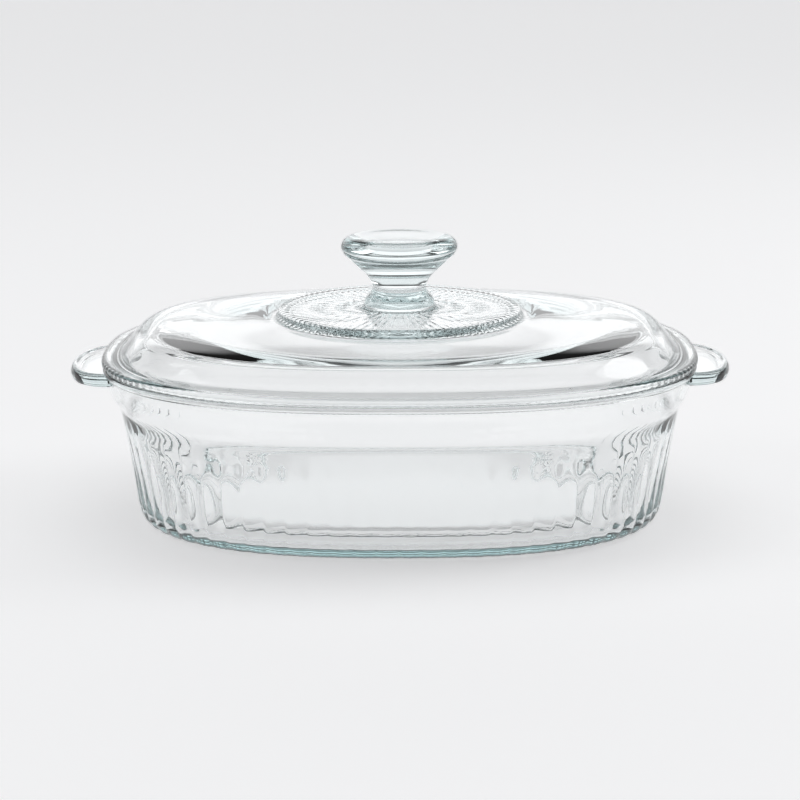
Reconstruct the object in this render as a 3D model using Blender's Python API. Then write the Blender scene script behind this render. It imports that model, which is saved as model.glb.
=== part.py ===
"""Covered oval casserole dish in pressed clear glass: a fluted dish with two tab handles, and a domed lid with a knob.

Metres, +Z up. The origin is under the middle of the base, on the surface the dish stands on. +X runs along the
long axis, from handle to handle, and -Y is the front.
"""

import math

import bmesh
import bpy
import numpy as np

# Plan outline of the rim: a superellipse. Every level of the dish and of the lid's side is this outline moved inwards.
RIM_HALF_LENGTH = 0.1446
RIM_HALF_WIDTH = 0.1118
OUTLINE_POWER = 2.46

# Heights above the table.
DISH_RIM_TOP = 0.0774
LID_SEAT_GAP = 0.0003
FLUTE_TOP = 0.0503
FLOOR_TOP = 0.0054
UNDERSIDE = 0.0010

# Flutes: convex ribs round the wall, in steps of a few straight facets each.
FLUTE_COUNT = 74
FLUTE_DEPTH = 0.0013
FACETS_PER_FLUTE = 3

# Lid: a flange, a steep side, a low crown, a raised round disc and a solid knob on it.
LID_STEPS_ROUND = 80
LID_THICKNESS = 0.004
DISC_TOP = 0.1013
CROWN_AT_DISC = 0.0971
KNOB_TOP = 0.1360

# Tab handles: a D in plan, with a bead left standing along its edge.
HANDLE_TIP = 0.161
HANDLE_HALF_WIDTH = 0.035
HANDLE_BOTTOM = 0.0684
HANDLE_TOP = 0.0752
HANDLE_BEAD_WIDTH = 0.0040
HANDLE_BEAD_SLOPE = 0.0008
HANDLE_RECESS = 0.0013
HANDLE_ROOT_INSET = 0.0052
HANDLE_ROUNDNESS = 2.0 / 2.3

GLASS = {"dish": (0.80, 0.90, 0.90, 1.0), "lid": (0.86, 0.93, 0.93, 1.0)}


def clear_scene():
    for old in list(bpy.data.objects):
        bpy.data.objects.remove(old, do_unlink=True)


def glass(name):
    material = bpy.data.materials.new(name + "_glass")
    material.use_nodes = True
    shader = material.node_tree.nodes["Principled BSDF"]
    shader.inputs["Base Color"].default_value = GLASS[name]
    shader.inputs["Roughness"].default_value = 0.02
    shader.inputs["Metallic"].default_value = 0.0
    shader.inputs["Transmission Weight"].default_value = 1.0
    shader.inputs["IOR"].default_value = 1.5
    return material


def outline(count, spaced_at, first=0.0):
    """Points and outward normals of the rim outline, evenly spaced along the outline moved in by spaced_at.

    The first point lies that many steps past the end of the long axis.
    """
    turn = np.linspace(0.0, 2.0 * math.pi, 40 * count + 1)
    cosine, sine = np.cos(turn), np.sin(turn)
    x = np.sign(cosine) * np.abs(cosine) ** (2.0 / OUTLINE_POWER)
    y = np.sign(sine) * np.abs(sine) ** (2.0 / OUTLINE_POWER)
    across = np.sign(x) * np.abs(x) ** (OUTLINE_POWER - 1.0) / RIM_HALF_LENGTH
    along = np.sign(y) * np.abs(y) ** (OUTLINE_POWER - 1.0) / RIM_HALF_WIDTH
    normals = np.stack([across, along], axis=1)
    normals /= np.linalg.norm(normals, axis=1)[:, None]
    points = np.stack([RIM_HALF_LENGTH * x, RIM_HALF_WIDTH * y], axis=1)
    moved = points - spaced_at * normals
    lengths = np.concatenate([[0.0], np.cumsum(np.linalg.norm(np.diff(moved, axis=0), axis=1))])
    stations = (np.arange(count) + first) % count * lengths[-1] / count
    even_points = np.stack([np.interp(stations, lengths, points[:, k]) for k in (0, 1)], axis=1)
    even_normals = np.stack([np.interp(stations, lengths, normals[:, k]) for k in (0, 1)], axis=1)
    even_normals /= np.linalg.norm(even_normals, axis=1)[:, None]
    return even_points, even_normals


def oval_ring(oval, inset, height):
    """The outline moved inwards by inset, which may differ from point to point, at one height."""
    points, normals = oval
    plan = points - normals * np.reshape(inset, (-1, 1))
    return [(x, y, height) for x, y in plan]


def round_ring(oval, radius, height):
    """A circle with one point for each point of the outline."""
    count = len(oval[0])
    turns = [2.0 * math.pi * k / count for k in range(count)]
    return [(radius * math.cos(turn), radius * math.sin(turn), height) for turn in turns]


def blended_ring(first, second, share):
    return [tuple(p + share * (q - p) for p, q in zip(one, two)) for one, two in zip(first, second)]


def ring_body(rings):
    """A closed body: the first ring filled, each ring joined to the next, and the last ring filled."""
    body = bmesh.new()
    last = [body.verts.new(point) for point in rings[0]]
    body.faces.new(last)
    for ring in rings[1:]:
        verts = [body.verts.new(point) for point in ring]
        for k in range(len(verts)):
            body.faces.new((last[k - 1], last[k], verts[k], verts[k - 1]))
        last = verts
    body.faces.new(last)
    bmesh.ops.recalc_face_normals(body, faces=body.faces)
    return body


def as_object(name, body):
    mesh = bpy.data.meshes.new(name)
    body.to_mesh(mesh)
    body.free()
    piece = bpy.data.objects.new(name, mesh)
    bpy.context.scene.collection.objects.link(piece)
    return piece


def finish(piece, name):
    piece.data.materials.append(glass(name))
    piece.data.shade_smooth()
    piece.data.set_sharp_from_angle(angle=math.radians(35.0))


def dish_rings(oval):
    """The dish from under the floor, out round the heel, up the fluted wall, over the rim and down inside."""
    step = np.arange(len(oval[0])) % FACETS_PER_FLUTE
    valley = 1.0 - np.sin(math.pi * step / FACETS_PER_FLUTE)
    foot = [
        (0.0490, UNDERSIDE),
        (0.0480, 0.0000),
        (0.0440, 0.0000),
        (0.0430, UNDERSIDE),
    ]
    fluted = [
        (0.0215, 0.0014, 0.3),
        (0.0184, 0.0027, 1.0),
        (0.0164, 0.0058, 1.0),
        (0.0126, 0.0320, 1.0),
        (0.0094, FLUTE_TOP, 1.0),
    ]
    collar_and_rim = [
        (0.0087, 0.0550),
        (0.0070, 0.0595),
        (0.0042, 0.0643),
        (0.0031, 0.0690),
        (0.0029, 0.0738),
        (0.0004, 0.0749),
        (0.0004, 0.0767),
        (0.0011, DISH_RIM_TOP),
        (0.0064, DISH_RIM_TOP),
    ]
    inside = [
        (0.0074, 0.0665),
        (0.0090, 0.0620),
        (0.0122, 0.0560),
        (0.0137, 0.0510),
        (0.0196, 0.0120),
        (0.0222, 0.0072),
        (0.0275, FLOOR_TOP),
    ]
    rings = [oval_ring(oval, inset, height) for inset, height in foot]
    rings += [oval_ring(oval, inset + share * FLUTE_DEPTH * valley, height) for inset, height, share in fluted]
    rings += [oval_ring(oval, inset, height) for inset, height in collar_and_rim + inside]
    return rings


def handle_plan(side):
    """A D in plan: the curved edge from front to back, then the root, which follows the inside of the dish's wall."""
    root_length = RIM_HALF_LENGTH - HANDLE_ROOT_INSET
    root_width = RIM_HALF_WIDTH - HANDLE_ROOT_INSET
    edge_steps = 16
    root_steps = 8
    points = []
    for k in range(edge_steps + 1):
        turn = math.pi * (k / edge_steps - 0.5)
        y = math.copysign(HANDLE_HALF_WIDTH * abs(math.sin(turn)) ** HANDLE_ROUNDNESS, turn)
        x = root_length + (HANDLE_TIP - root_length) * abs(math.cos(turn)) ** HANDLE_ROUNDNESS
        points.append((side * x, side * y))
    for k in range(root_steps + 1):
        y = HANDLE_HALF_WIDTH * (1.0 - 2.0 * k / root_steps)
        x = root_length * (1.0 - (abs(y) / root_width) ** OUTLINE_POWER) ** (1.0 / OUTLINE_POWER)
        points.append((side * x, side * y))
    return points


def handle(side):
    """A solid tab with its top sunk inside a bead, made from a D-shaped face."""
    body = bmesh.new()
    face = body.faces.new([body.verts.new((x, y, HANDLE_BOTTOM)) for x, y in handle_plan(side)])
    made = bmesh.ops.extrude_face_region(body, geom=[face])["geom"]
    top_verts = [item for item in made if isinstance(item, bmesh.types.BMVert)]
    bmesh.ops.translate(body, verts=top_verts, vec=(0.0, 0.0, HANDLE_TOP - HANDLE_BOTTOM))
    top = next(item for item in made if isinstance(item, bmesh.types.BMFace))
    bmesh.ops.inset_region(body, faces=[top], thickness=HANDLE_BEAD_WIDTH)
    bmesh.ops.inset_region(body, faces=[top], thickness=HANDLE_BEAD_SLOPE, depth=-HANDLE_RECESS)
    bmesh.ops.recalc_face_normals(body, faces=body.faces)
    tab = as_object("handle_blank", body)
    tab.hide_render = True
    tab.display_type = "WIRE"
    return tab


def make_dish():
    """The turned-out wall joined to its handles. The exact solver loses the wall here, and the manifold one keeps it."""
    oval = outline(FLUTE_COUNT * FACETS_PER_FLUTE, spaced_at=0.010, first=FACETS_PER_FLUTE / 2.0)
    dish = as_object("dish", ring_body(dish_rings(oval)))
    for side in (1, -1):
        join = dish.modifiers.new("handle", "BOOLEAN")
        join.operation = "UNION"
        join.solver = "MANIFOLD"
        join.object = handle(side)
    finish(dish, "dish")
    return dish


def lid_rings(oval):
    """The lid from the middle of its underside out to the flange, over the side and crown, and up the knob."""
    flange_bottom = DISH_RIM_TOP + LID_SEAT_GAP
    crest = oval_ring(oval, 0.0205, 0.0932)
    crest_under = oval_ring(oval, 0.0235, 0.0893)
    disc_foot = round_ring(oval, 0.0606, CROWN_AT_DISC)
    recess_mouth = round_ring(oval, 0.0620, CROWN_AT_DISC - LID_THICKNESS)
    underside = [
        (0.0560, CROWN_AT_DISC),
        (0.0590, CROWN_AT_DISC - 0.0010),
    ]
    side_and_flange = [
        (0.0190, 0.0875),
        (0.0130, 0.0807),
        (0.0105, 0.0757),
        (0.0095, 0.0747),
        (0.0076, 0.0747),
        (0.0070, flange_bottom),
        (0.0010, flange_bottom),
        (0.0000, flange_bottom + 0.0010),
        (0.0000, 0.0805),
        (0.0010, 0.0814),
        (0.0070, 0.0816),
        (0.0100, 0.0836),
        (0.0155, 0.0897),
        (0.0180, 0.0922),
    ]
    disc_and_knob = [
        (0.0590, DISC_TOP - 0.0010),
        (0.0575, DISC_TOP),
        (0.0185, DISC_TOP + 0.0002),
        (0.0167, 0.1032),
        (0.0164, 0.1056),
        (0.0148, 0.1084),
        (0.0128, 0.1107),
        (0.0136, 0.1135),
        (0.0158, 0.1169),
        (0.0243, 0.1251),
        (0.0276, 0.1283),
        (0.0284, 0.1305),
        (0.0272, 0.1337),
        (0.0240, KNOB_TOP - 0.0003),
        (0.0205, KNOB_TOP),
        (0.0160, KNOB_TOP - 0.0006),
    ]
    rings = [round_ring(oval, radius, height) for radius, height in underside]
    rings += [recess_mouth, blended_ring(recess_mouth, crest_under, 0.5), crest_under]
    rings += [oval_ring(oval, inset, height) for inset, height in side_and_flange]
    rings += [crest, blended_ring(crest, disc_foot, 0.5), disc_foot]
    rings += [round_ring(oval, radius, height) for radius, height in disc_and_knob]
    return rings


def make_lid():
    oval = outline(LID_STEPS_ROUND, spaced_at=0.010)
    lid = as_object("lid", ring_body(lid_rings(oval)))
    finish(lid, "lid")
    return lid


clear_scene()
make_dish()
make_lid()
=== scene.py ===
"""Covered oval casserole dish in pressed clear glass, standing on a pale studio floor.

Metres, +Z up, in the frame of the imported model: +X from handle to handle, -Y the front, the table at Z = 0.
"""

import math

import bpy
import numpy as np
from mathutils import Matrix, Vector


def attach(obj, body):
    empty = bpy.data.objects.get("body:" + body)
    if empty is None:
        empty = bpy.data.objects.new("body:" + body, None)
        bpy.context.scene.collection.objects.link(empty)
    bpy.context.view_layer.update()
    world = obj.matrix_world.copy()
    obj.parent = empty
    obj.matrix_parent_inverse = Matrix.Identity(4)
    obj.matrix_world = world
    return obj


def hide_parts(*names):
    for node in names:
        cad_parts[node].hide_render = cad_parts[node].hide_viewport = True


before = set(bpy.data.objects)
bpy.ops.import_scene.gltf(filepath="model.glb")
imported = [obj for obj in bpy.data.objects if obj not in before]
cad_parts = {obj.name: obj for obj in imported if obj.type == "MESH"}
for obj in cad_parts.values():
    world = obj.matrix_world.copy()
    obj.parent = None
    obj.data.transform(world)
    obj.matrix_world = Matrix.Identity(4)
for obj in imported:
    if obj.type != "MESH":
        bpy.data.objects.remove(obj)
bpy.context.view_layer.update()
bpy.ops.object.select_all(action="DESELECT")


# Camera. A long lens a metre in front of the dish and a little above it, looking down at it, and turned and
# rolled a hair off square.
camera_distance = 1.0
camera_height = 0.303
camera_turn = math.radians(0.5)
camera_roll = math.radians(-0.27)
camera_dip = 0.2442
camera_across = camera_distance * math.sin(camera_turn)
camera_ahead = -camera_distance * math.cos(camera_turn)
bpy.ops.object.camera_add(location=(camera_across, camera_ahead, camera_height))
camera = bpy.context.object
camera.name = "camera"
camera.rotation_euler = (
    Matrix.Rotation(camera_turn, 3, "Z")
    @ Matrix.Rotation(math.pi / 2 - camera_dip, 3, "X")
    @ Matrix.Rotation(camera_roll, 3, "Z")
).to_euler()
camera.data.sensor_width = 36.0
camera.data.lens = 93.84
camera.data.clip_end = 50.0
bpy.context.scene.camera = camera


# Studio floor. A wide sheet of pale paper that turns up into a low wall all round. It glows a little of
# itself, as a light table does, which keeps the shadows under clear glass pale.
floor_radius = 5.0
wall_height = 0.5
floor_steps = 96
bpy.ops.mesh.primitive_circle_add(vertices=floor_steps, radius=floor_radius, fill_type="NGON")
floor = bpy.context.object
floor.name = "studio_floor"
bpy.ops.object.mode_set(mode="EDIT")
bpy.ops.mesh.select_all(action="SELECT")
bpy.ops.mesh.inset(thickness=wall_height)
bpy.ops.mesh.select_all(action="DESELECT")
bpy.ops.mesh.select_mode(type="EDGE")
bpy.ops.mesh.select_non_manifold()
bend_steps = 12
for step in range(1, bend_steps + 1):
    before = math.pi / 2 * (step - 1) / bend_steps
    now = math.pi / 2 * step / bend_steps
    radius_before = floor_radius + wall_height * math.sin(before)
    radius_now = floor_radius + wall_height * math.sin(now)
    rise = wall_height * (math.cos(before) - math.cos(now))
    bpy.ops.mesh.extrude_region_move(TRANSFORM_OT_translate={"value": (0.0, 0.0, rise)})
    bpy.ops.transform.resize(value=(radius_now / radius_before, radius_now / radius_before, 1.0))
bpy.ops.object.mode_set(mode="OBJECT")
floor.data.shade_smooth()

paper = bpy.data.materials.new("studio_paper")
paper.use_nodes = True
paper_shader = paper.node_tree.nodes["Principled BSDF"]
paper_shader.inputs["Base Color"].default_value = (0.93, 0.93, 0.935, 1.0)
paper_shader.inputs["Roughness"].default_value = 0.9
paper_shader.inputs["Specular IOR Level"].default_value = 0.0
paper_shader.inputs["Emission Color"].default_value = (0.99, 0.99, 1.0, 1.0)
paper_shader.inputs["Emission Strength"].default_value = 0.43
floor.data.materials.append(paper)

# Studio light. Low down the room is bright behind the dish, most of all straight behind it, and overhead is
# a bright ceiling that dims towards the front. The rest is nearly dark, which draws dark lines in the glass.
behind_light = 0.50
straight_behind_light = 0.66
ceiling_light = 0.9
ceiling_front_loss = 0.75
room_light = 0.07
plain_tone = 0.86
world = bpy.data.worlds.new("studio_light")
bpy.context.scene.world = world
world.use_nodes = True
world_nodes = world.node_tree.nodes
world_links = world.node_tree.links
background = world_nodes["Background"]
direction = world_nodes.new("ShaderNodeTexCoord")
axes = world_nodes.new("ShaderNodeSeparateXYZ")
world_links.new(direction.outputs["Generated"], axes.inputs[0])


def world_ramp(value, low, high):
    """0 below low, 1 above high, and a smooth step between."""
    ramp = world_nodes.new("ShaderNodeMapRange")
    ramp.interpolation_type = "SMOOTHSTEP"
    ramp.inputs["From Min"].default_value = low
    ramp.inputs["From Max"].default_value = high
    world_links.new(value, ramp.inputs["Value"])
    return ramp.outputs["Result"]


def world_math(operation, first, second):
    """One sum or product of two values, each a number or another node's output."""
    node = world_nodes.new("ShaderNodeMath")
    node.operation = operation
    for socket, value in zip(node.inputs, (first, second)):
        if isinstance(value, float):
            socket.default_value = value
        else:
            world_links.new(value, socket)
    return node.outputs[0]


ahead_and_back = axes.outputs["Y"]
upward = axes.outputs["Z"]
behind = world_math("MULTIPLY", world_ramp(ahead_and_back, -0.25, 0.10), behind_light)
straight_behind = world_math("MULTIPLY", world_ramp(ahead_and_back, 0.72, 0.90), straight_behind_light)
low_down = world_math("SUBTRACT", 1.0, world_ramp(upward, 0.36, 0.46))
backdrop = world_math("MULTIPLY", world_math("ADD", behind, straight_behind), low_down)
in_front = world_math("MULTIPLY", world_ramp(ahead_and_back, 0.10, -0.45), ceiling_front_loss)
ceiling = world_math("MULTIPLY", world_ramp(upward, 0.74, 0.84), ceiling_light)
ceiling = world_math("MULTIPLY", ceiling, world_math("SUBTRACT", 1.0, in_front))
brightness = world_math("ADD", world_math("ADD", backdrop, ceiling), room_light)
# Seen past the wall from a low side view, the room is the same plain pale tone as the paper.
seen_directly = world_nodes.new("ShaderNodeLightPath").outputs["Is Camera Ray"]
plain = world_math("MULTIPLY", seen_directly, plain_tone)
unseen = world_math("MULTIPLY", world_math("SUBTRACT", 1.0, seen_directly), brightness)
world_links.new(world_math("ADD", plain, unseen), background.inputs["Strength"])
background.inputs["Color"].default_value = (0.985, 0.99, 1.0, 1.0)


dish_middle = Vector((0.0, 0.0, 0.06))


def softbox(name, place, width, height, power):
    """A square lamp at place, turned to the middle of the dish."""
    bpy.ops.object.light_add(type="AREA", location=place)
    lamp = bpy.context.object
    lamp.name = name
    lamp.data.shape = "RECTANGLE"
    lamp.data.size = width
    lamp.data.size_y = height
    lamp.data.energy = power
    lamp.rotation_euler = (dish_middle - Vector(place)).to_track_quat("-Z", "Y").to_euler()


softbox("right_softbox", place=(1.5, 0.3, 1.1), width=0.9, height=0.9, power=5.0)
softbox("left_softbox", place=(-1.6, -0.2, 1.0), width=0.7, height=0.9, power=3.0)


# Pressed glass, of the dish and the lid. Plain clear glass, with the faint green-blue that shows in thick
# edges as colour in the body, and the slight waviness that a mould leaves on the skin.
mould_wave_height = 0.00004


def pressed_glass(name, tint):
    """The glass of one piece. tint is how strongly its body takes up light, per metre."""
    glass = bpy.data.materials.new(name)
    glass.use_nodes = True
    nodes = glass.node_tree.nodes
    links = glass.node_tree.links
    shader = nodes["Principled BSDF"]
    shader.inputs["Base Color"].default_value = (1.0, 1.0, 1.0, 1.0)
    shader.inputs["Transmission Weight"].default_value = 1.0
    shader.inputs["IOR"].default_value = 1.5
    shader.inputs["Roughness"].default_value = 0.0
    body = nodes.new("ShaderNodeVolumeAbsorption")
    body.inputs["Color"].default_value = (0.46, 0.70, 0.71, 1.0)
    body.inputs["Density"].default_value = tint
    links.new(body.outputs["Volume"], nodes["Material Output"].inputs["Volume"])
    place = nodes.new("ShaderNodeTexCoord")
    waves = nodes.new("ShaderNodeTexNoise")
    waves.inputs["Scale"].default_value = 30.0
    waves.inputs["Detail"].default_value = 2.0
    waves.inputs["Roughness"].default_value = 0.45
    links.new(place.outputs["Object"], waves.inputs["Vector"])
    skin = nodes.new("ShaderNodeBump")
    skin.inputs["Strength"].default_value = 1.0
    skin.inputs["Distance"].default_value = mould_wave_height
    links.new(waves.outputs["Fac"], skin.inputs["Height"])
    links.new(skin.outputs["Normal"], shader.inputs["Normal"])
    return glass


# Dish. One piece of pressed glass: an oval pan with a flat floor, a foot ring with a dotted face, convex
# flutes that fade out under a plain cove, and a thick rim. It is a closed sheet of oval rows, from the middle
# of its underside out, up, over the rim and down to the middle of its floor.
rim_half_length = 0.1446
rim_half_width = 0.1118
outline_power = 2.46
flute_count = 74
steps_per_flute = 12
flute_depth = 0.0008
dot_steps = 3
dot_height = 0.0011
dot_row_gap = 0.0010
even_inset = 0.010
outside_row_gap = 0.0021
inside_row_gap = 0.0045


def oval_stations(count, spaced_at, first):
    """Points and outward normals of the rim outline, even along the outline moved in by spaced_at."""
    turn = np.linspace(0.0, 2.0 * math.pi, 40 * count + 1)
    cosine, sine = np.cos(turn), np.sin(turn)
    x = np.sign(cosine) * np.abs(cosine) ** (2.0 / outline_power)
    y = np.sign(sine) * np.abs(sine) ** (2.0 / outline_power)
    across = np.sign(x) * np.abs(x) ** (outline_power - 1.0) / rim_half_length
    along = np.sign(y) * np.abs(y) ** (outline_power - 1.0) / rim_half_width
    normals = np.stack([across, along], axis=1)
    normals /= np.linalg.norm(normals, axis=1)[:, None]
    points = np.stack([rim_half_length * x, rim_half_width * y], axis=1)
    moved = points - spaced_at * normals
    lengths = np.concatenate([[0.0], np.cumsum(np.linalg.norm(np.diff(moved, axis=0), axis=1))])
    stations = (np.arange(count) + first) % count * lengths[-1] / count
    even_points = np.stack([np.interp(stations, lengths, points[:, k]) for k in (0, 1)], axis=1)
    even_normals = np.stack([np.interp(stations, lengths, normals[:, k]) for k in (0, 1)], axis=1)
    even_normals /= np.linalg.norm(even_normals, axis=1)[:, None]
    return even_points, even_normals


def smooth_section(points, spacing):
    """Rows along a smooth curve through the section's points, about spacing apart. Its ends stay put."""
    points = np.array(points, float)
    ends = np.concatenate([[2 * points[0] - points[1]], points, [2 * points[-1] - points[-2]]])
    rows = []
    for before, start, stop, after in zip(ends, ends[1:], ends[2:], ends[3:]):
        gaps = [max(np.linalg.norm((b - a)[:2]), 1e-7) ** 0.5 for a, b in
                ((before, start), (start, stop), (stop, after))]
        leave = (start - before) / gaps[0] - (stop - before) / (gaps[0] + gaps[1]) + (stop - start) / gaps[1]
        reach = (stop - start) / gaps[1] - (after - start) / (gaps[1] + gaps[2]) + (after - stop) / gaps[2]
        leave, reach = leave * gaps[1], reach * gaps[1]
        count = max(1, round(np.linalg.norm((stop - start)[:2]) / spacing))
        for k in range(count):
            t = k / count
            rows.append(
                (2 * t**3 - 3 * t**2 + 1) * start + (t**3 - 2 * t**2 + t) * leave
                + (3 * t**2 - 2 * t**3) * stop + (t**3 - t**2) * reach
            )
    rows.append(points[-1])
    return np.array(rows)


def sheet_of_rows(name, rows):
    """A grid with one row of points for each level of rows, its two sides joined and its ends closed."""
    levels, columns = len(rows), len(rows[0])
    bpy.ops.mesh.primitive_grid_add(x_subdivisions=columns, y_subdivisions=levels - 1)
    piece = bpy.context.object
    piece.name = name
    wrapped = np.concatenate([rows, rows[:, :1]], axis=1)
    piece.data.vertices.foreach_set("co", wrapped.astype(np.float32).ravel())
    bpy.ops.object.mode_set(mode="EDIT")
    bpy.ops.mesh.select_all(action="SELECT")
    bpy.ops.mesh.remove_doubles(threshold=1e-6)
    bpy.ops.mesh.normals_make_consistent(inside=False)
    bpy.ops.object.mode_set(mode="OBJECT")
    piece.data.shade_smooth()
    return piece


def eased(value, low, high):
    """0 below low, 1 above high, and a smooth step between."""
    share = np.clip((value - low) / (high - low), 0.0, 1.0)
    return share * share * (3.0 - 2.0 * share)


dish_steps = flute_count * steps_per_flute
dish_points, dish_normals = oval_stations(dish_steps, even_inset, steps_per_flute / 2.0)
# Each point is its inset from the rim outline, its height, and its shares of flute depth and dot height.
dish_outside = [
    (0.0520, 0.0010, 0.0, 0.0),
    (0.0490, 0.0012, 0.0, 0.0),
    (0.0482, 0.0005, 0.0, 0.2),
    (0.0474, 0.0001, 0.0, 0.9),
    (0.0460, 0.0001, 0.0, 1.0),
    (0.0446, 0.0001, 0.0, 0.9),
    (0.0438, 0.0005, 0.0, 0.2),
    (0.0430, 0.0012, 0.0, 0.0),
    (0.0380, 0.0011, 0.0, 0.0),
    (0.0260, 0.0012, 0.0, 0.0),
    (0.0215, 0.0014, 0.3, 0.1),
    (0.0196, 0.0020, 0.8, 0.3),
    (0.0180, 0.0031, 1.0, 0.1),
    (0.0164, 0.0060, 1.0, 0.0),
    (0.0152, 0.0120, 1.0, 0.0),
    (0.0130, 0.0290, 0.95, 0.0),
    (0.0116, 0.0380, 0.6, 0.0),
    (0.0107, 0.0430, 0.3, 0.0),
    (0.0100, 0.0475, 0.08, 0.0),
    (0.0094, 0.0515, 0.0, 0.0),
    (0.0086, 0.0553, 0.0, 0.0),
    (0.0070, 0.0595, 0.0, 0.0),
    (0.0044, 0.0640, 0.0, 0.0),
    (0.0032, 0.0682, 0.0, 0.0),
    (0.0029, 0.0728, 0.0, 0.0),
    (0.0026, 0.0741, 0.0, 0.2),
    (0.0012, 0.0746, 0.0, 0.2),
    (0.0005, 0.0753, 0.0, 0.1),
    (0.0005, 0.0764, 0.0, 0.0),
    (0.0012, 0.0772, 0.0, 0.0),
    (0.0026, 0.0774, 0.0, 0.0),
]
dish_inside = [
    (0.0052, 0.0773, 0.0, 0.0),
    (0.0064, 0.0766, 0.0, 0.0),
    (0.0069, 0.0750, 0.0, 0.0),
    (0.0074, 0.0665, 0.0, 0.0),
    (0.0090, 0.0620, 0.0, 0.0),
    (0.0120, 0.0562, 0.0, 0.0),
    (0.0137, 0.0500, 0.0, 0.0),
    (0.0168, 0.0300, 0.0, 0.0),
    (0.0194, 0.0135, 0.0, 0.0),
    (0.0208, 0.0087, 0.0, 0.0),
    (0.0238, 0.0062, 0.0, 0.0),
    (0.0290, 0.0055, 0.0, 0.0),
    (0.0420, 0.0054, 0.0, 0.0),
]


def dish_row(inset, height, flute, dotted):
    """One oval row of the dish, with its flutes' valleys cut in and the gaps between its dots raised."""
    place = np.arange(dish_steps)
    valley = 1.0 - np.abs(np.sin(math.pi * place / steps_per_flute))
    moved = inset + flute * flute_depth * valley
    plan = dish_points - dish_normals * moved[:, None]
    stagger = dot_steps / 2.0 * (round(inset / dot_row_gap) % 2)
    dot = 0.5 + 0.5 * np.cos(2.0 * math.pi * (place + stagger) / dot_steps)
    return np.column_stack([plan, height + dotted * dot_height * (1.0 - dot)])


def flat_end(row, share):
    """A row shrunk towards the middle, to close a floor."""
    return row * np.array([share, share, 1.0])


outside_rows = [dish_row(*level) for level in smooth_section(dish_outside, outside_row_gap)]
inside_rows = [dish_row(*level) for level in smooth_section(dish_inside, inside_row_gap)]
under = [flat_end(outside_rows[0], share) for share in (0.0, 0.35, 0.7)]
floor_top = [flat_end(inside_rows[-1], share) for share in (0.7, 0.35, 0.0)]
dish_rows = np.array(under + outside_rows + inside_rows + floor_top)
dish = sheet_of_rows("dish_body", dish_rows)


# Handles. Two D-shaped tabs of the same glass, pressed in one with the dish: a thin web inside a round bead.
# Each is made as a whole oval tab, trimmed along the inside of the wall and joined to it.
handle_tip = 0.161
handle_half_width = 0.035
handle_root_inset = 0.0052
handle_middle = rim_half_length - handle_root_inset
handle_roundness = 2.0 / 2.3
handle_steps = 160
handle_row_gap = 0.0008
core_bottom = 0.060
core_top = 0.085
smooth_angle = math.radians(50.0)
# Each point is its inset from the tab's outline and its height.
handle_section = [
    (0.0120, 0.0686),
    (0.0040, 0.0685),
    (0.0020, 0.0687),
    (0.0008, 0.0693),
    (0.0001, 0.0705),
    (0.0000, 0.0718),
    (0.0002, 0.0733),
    (0.0009, 0.0745),
    (0.0020, 0.0751),
    (0.0032, 0.0750),
    (0.0042, 0.0745),
    (0.0050, 0.0739),
    (0.0060, 0.0737),
    (0.0120, 0.0737),
]


def tab_rows(side):
    """The rows of one oval tab, from the middle of its underside out and over to the middle of its top."""
    turn = 2.0 * math.pi * np.arange(handle_steps) / handle_steps
    half_length = handle_tip - handle_middle
    x = half_length * np.sign(np.cos(turn)) * np.abs(np.cos(turn)) ** handle_roundness
    y = handle_half_width * np.sign(np.sin(turn)) * np.abs(np.sin(turn)) ** handle_roundness
    outline = np.column_stack([x, y])
    forward = np.roll(outline, -1, axis=0) - np.roll(outline, 1, axis=0)
    normals = np.column_stack([forward[:, 1], -forward[:, 0]]) / np.linalg.norm(forward, axis=1)[:, None]
    rows = []
    for inset, height in smooth_section(handle_section, handle_row_gap):
        plan = outline - inset * normals
        across = side * (handle_middle + plan[:, 0])
        rows.append(np.column_stack([across, plan[:, 1], np.full(handle_steps, height)]))
    middle = np.array([side * handle_middle, 0.0, 0.0])
    flat = np.array([0.0, 0.0, 1.0])
    return np.array([middle + rows[0] * flat] + rows + [middle + rows[-1] * flat])


def boolean(piece, other, operation):
    """Joins or trims piece with other, which is used up. Both are closed, as this solver needs."""
    work = piece.modifiers.new("work", "BOOLEAN")
    work.operation = operation
    work.solver = "MANIFOLD"
    work.object = other
    bpy.ops.object.select_all(action="DESELECT")
    bpy.context.view_layer.objects.active = piece
    piece.select_set(True)
    bpy.ops.object.modifier_apply(modifier=work.name)
    bpy.data.objects.remove(other, do_unlink=True)


def core_rows():
    """A block of the dish's inside, up to the line that the tabs are rooted on."""
    plan = dish_points - dish_normals * handle_root_inset
    low = np.column_stack([plan, np.full(dish_steps, core_bottom)])
    high = np.column_stack([plan, np.full(dish_steps, core_top)])
    return np.array([flat_end(low, 0.0), low, high, flat_end(high, 0.0)])


for side in (1, -1):
    tab = sheet_of_rows("handle_blank", tab_rows(side))
    core = sheet_of_rows("core_blank", core_rows())
    boolean(tab, core, "DIFFERENCE")
    boolean(dish, tab, "UNION")
bpy.ops.object.shade_smooth_by_angle(angle=smooth_angle)
dish.data.materials.clear()
dish.data.materials.append(pressed_glass("dish_glass_clear", tint=7.0))
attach(dish, "dish")
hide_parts("dish")


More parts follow.
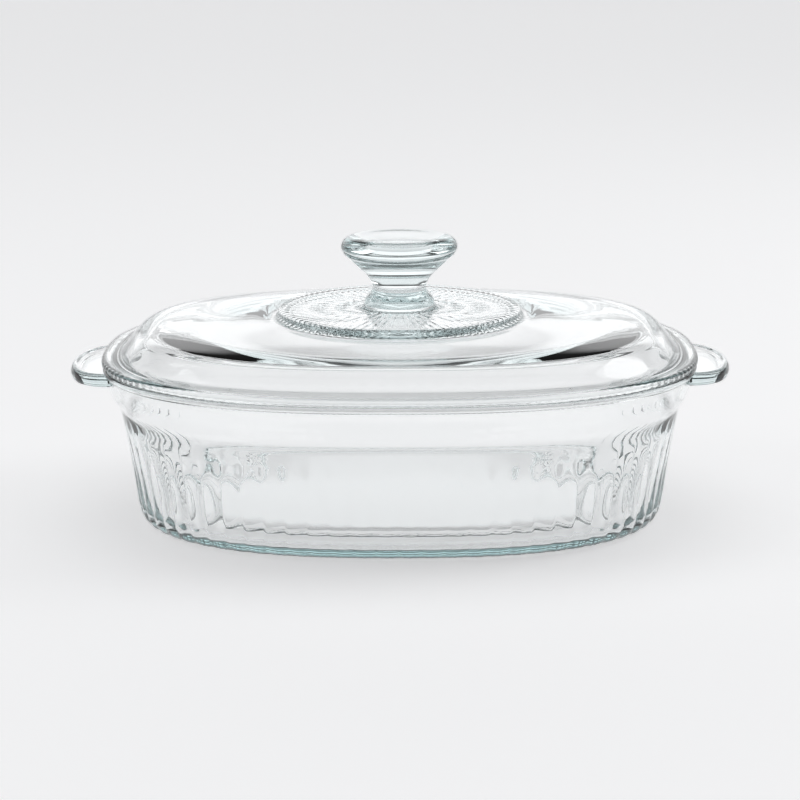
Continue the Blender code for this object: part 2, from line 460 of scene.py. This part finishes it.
# Lid. One piece of pressed glass, laid loose on the rim: a scalloped flange with a lip inside it, a steep
# shoulder, a low crown, a raised disc with radial ribs, and a solid knob. It is a closed sheet of rows, oval
# at the flange and round inside it, from under the middle out, round the flange and up to the knob.
lid_rib_count = 88
steps_per_rib = 8
scallop_steps = 4
scallop_depth = 0.0005
half_ribs_inside = 0.030
all_ribs_outside = 0.044
crown_steps = 12
flange_row_gap = 0.0015
disc_row_gap = 0.0030
knob_row_gap = 0.0017
lid_steps = lid_rib_count * steps_per_rib
lid_points, lid_normals = oval_stations(lid_steps, even_inset, 0.0)
lid_turns = 2.0 * math.pi * np.arange(lid_steps) / lid_steps
disc_foot_radius = 0.0606
disc_foot_height = 0.0971
rib_height = 0.00016


def lid_oval_row(inset, height, scallop=0.0):
    """An oval row. scallop is its share of the fine scallops round the edge of the flange."""
    dent = 1.0 - np.abs(np.sin(math.pi / scallop_steps * (np.arange(lid_steps) + 0.5)))
    moved = inset + scallop * scallop_depth * dent
    return np.column_stack([lid_points - lid_normals * moved[:, None], np.full(lid_steps, height)])


def lid_round_row(radius, height):
    plan = np.column_stack([np.cos(lid_turns), np.sin(lid_turns)]) * radius
    return np.column_stack([plan, np.full(lid_steps, height)])


def ribbed_row(radius, height, share):
    """A round row with the disc's ribs: every one at the edge, and every second one further in."""
    all_ribs = np.abs(np.sin(lid_rib_count / 2.0 * lid_turns))
    half_ribs = np.abs(np.sin(lid_rib_count / 4.0 * lid_turns))
    outer = eased(radius, half_ribs_inside, all_ribs_outside)
    height_field = outer * all_ribs + (1.0 - outer) * half_ribs
    row = lid_round_row(radius, height)
    row[:, 2] -= share * rib_height * (1.0 - height_field)
    return row


def crown_rows(first_row, last_row):
    """Rows between two others, whose heights change fast at first and level off towards the last."""
    rows = []
    for k in range(1, crown_steps):
        share = k / crown_steps
        climb = math.sin(math.pi / 2.0 * share)
        row = first_row + share * (last_row - first_row)
        row[:, 2] = first_row[:, 2] + climb * (last_row[:, 2] - first_row[:, 2])
        rows.append(row)
    return rows


# Each point is its radius and its height.
under_section = [
    (0.0300, 0.0971),
    (0.0500, 0.0970),
    (0.0550, 0.0967),
    (0.0590, 0.0958),
    (0.0625, 0.0947),
    (0.0660, 0.0939),
]
# Each point is its inset from the rim outline, its height and its share of the scallops.
flange_section = [
    (0.0240, 0.0898, 0.0),
    (0.0215, 0.0890, 0.0),
    (0.0192, 0.0873, 0.0),
    (0.0155, 0.0832, 0.0),
    (0.0126, 0.0795, 0.0),
    (0.0110, 0.0762, 0.0),
    (0.0102, 0.0750, 0.0),
    (0.0090, 0.0747, 0.0),
    (0.0078, 0.0750, 0.0),
    (0.0073, 0.0762, 0.0),
    (0.0068, 0.0774, 0.0),
    (0.0055, 0.0777, 0.0),
    (0.0015, 0.0777, 0.6),
    (0.0004, 0.0781, 1.0),
    (0.0000, 0.0790, 1.0),
    (0.0001, 0.0802, 1.0),
    (0.0007, 0.0811, 0.6),
    (0.0022, 0.0815, 0.0),
    (0.0060, 0.0816, 0.0),
    (0.0082, 0.0820, 0.0),
    (0.0103, 0.0838, 0.0),
    (0.0130, 0.0868, 0.0),
    (0.0158, 0.0898, 0.0),
    (0.0180, 0.0917, 0.0),
    (0.0205, 0.0928, 0.0),
    (0.0235, 0.0934, 0.0),
]
# Each point of the disc and the knob is its radius and its height.
disc_section = [
    (0.0606, 0.0971),
    (0.0598, 0.0980),
    (0.0594, 0.0995),
    (0.0588, 0.1006),
    (0.0576, 0.1012),
    (0.0560, 0.1013),
    (0.0300, 0.1014),
    (0.0186, 0.1015),
]
knob_section = [
    (0.0186, 0.1015),
    (0.0176, 0.1020),
    (0.0171, 0.1032),
    (0.0168, 0.1050),
    (0.0160, 0.1066),
    (0.0144, 0.1082),
    (0.0131, 0.1098),
    (0.0128, 0.1114),
    (0.0136, 0.1136),
    (0.0158, 0.1169),
    (0.0200, 0.1211),
    (0.0243, 0.1251),
    (0.0272, 0.1279),
    (0.0283, 0.1300),
    (0.0283, 0.1318),
    (0.0272, 0.1338),
    (0.0255, 0.1351),
    (0.0230, 0.1358),
    (0.0205, 0.1360),
    (0.0190, 0.1357),
    (0.0165, 0.1353),
    (0.0080, 0.1352),
]
crest = lid_oval_row(*flange_section[-1])
crest_under = lid_oval_row(*flange_section[0])
disc_foot = lid_round_row(disc_foot_radius, disc_foot_height)
recess_mouth = lid_round_row(*under_section[-1])
under_disc_rows = [lid_round_row(*level) for level in smooth_section(under_section, disc_row_gap)]
flange_rows = [lid_oval_row(*level) for level in smooth_section(flange_section, flange_row_gap)]
disc_rows = []
for radius, height in smooth_section(disc_section, disc_row_gap):
    disc_rows.append(ribbed_row(radius, height, eased(height, 0.0972, 0.0985)))
knob_rows = [lid_round_row(*level) for level in smooth_section(knob_section, knob_row_gap)]
recess_height = under_section[0][1]
knob_dip_height = knob_section[-1][1]
lid_rows = np.array(
    [lid_round_row(0.0, recess_height)]
    + under_disc_rows
    + crown_rows(recess_mouth, crest_under)
    + flange_rows
    + crown_rows(crest, disc_foot)
    + disc_rows
    + knob_rows[1:]
    + [lid_round_row(0.0, knob_dip_height)]
)
lid = sheet_of_rows("lid_body", lid_rows)
lid.data.materials.append(pressed_glass("lid_glass_clear", tint=6.0))
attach(lid, "lid")
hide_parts("lid")


# Colours and light paths: plain display of the colours, and enough bounces to cross every wall of the glass.
scene = bpy.context.scene
scene.view_settings.view_transform = "Standard"
scene.cycles.max_bounces = 24
scene.cycles.transmission_bounces = 24
scene.cycles.glossy_bounces = 12
scene.cycles.transparent_max_bounces = 24
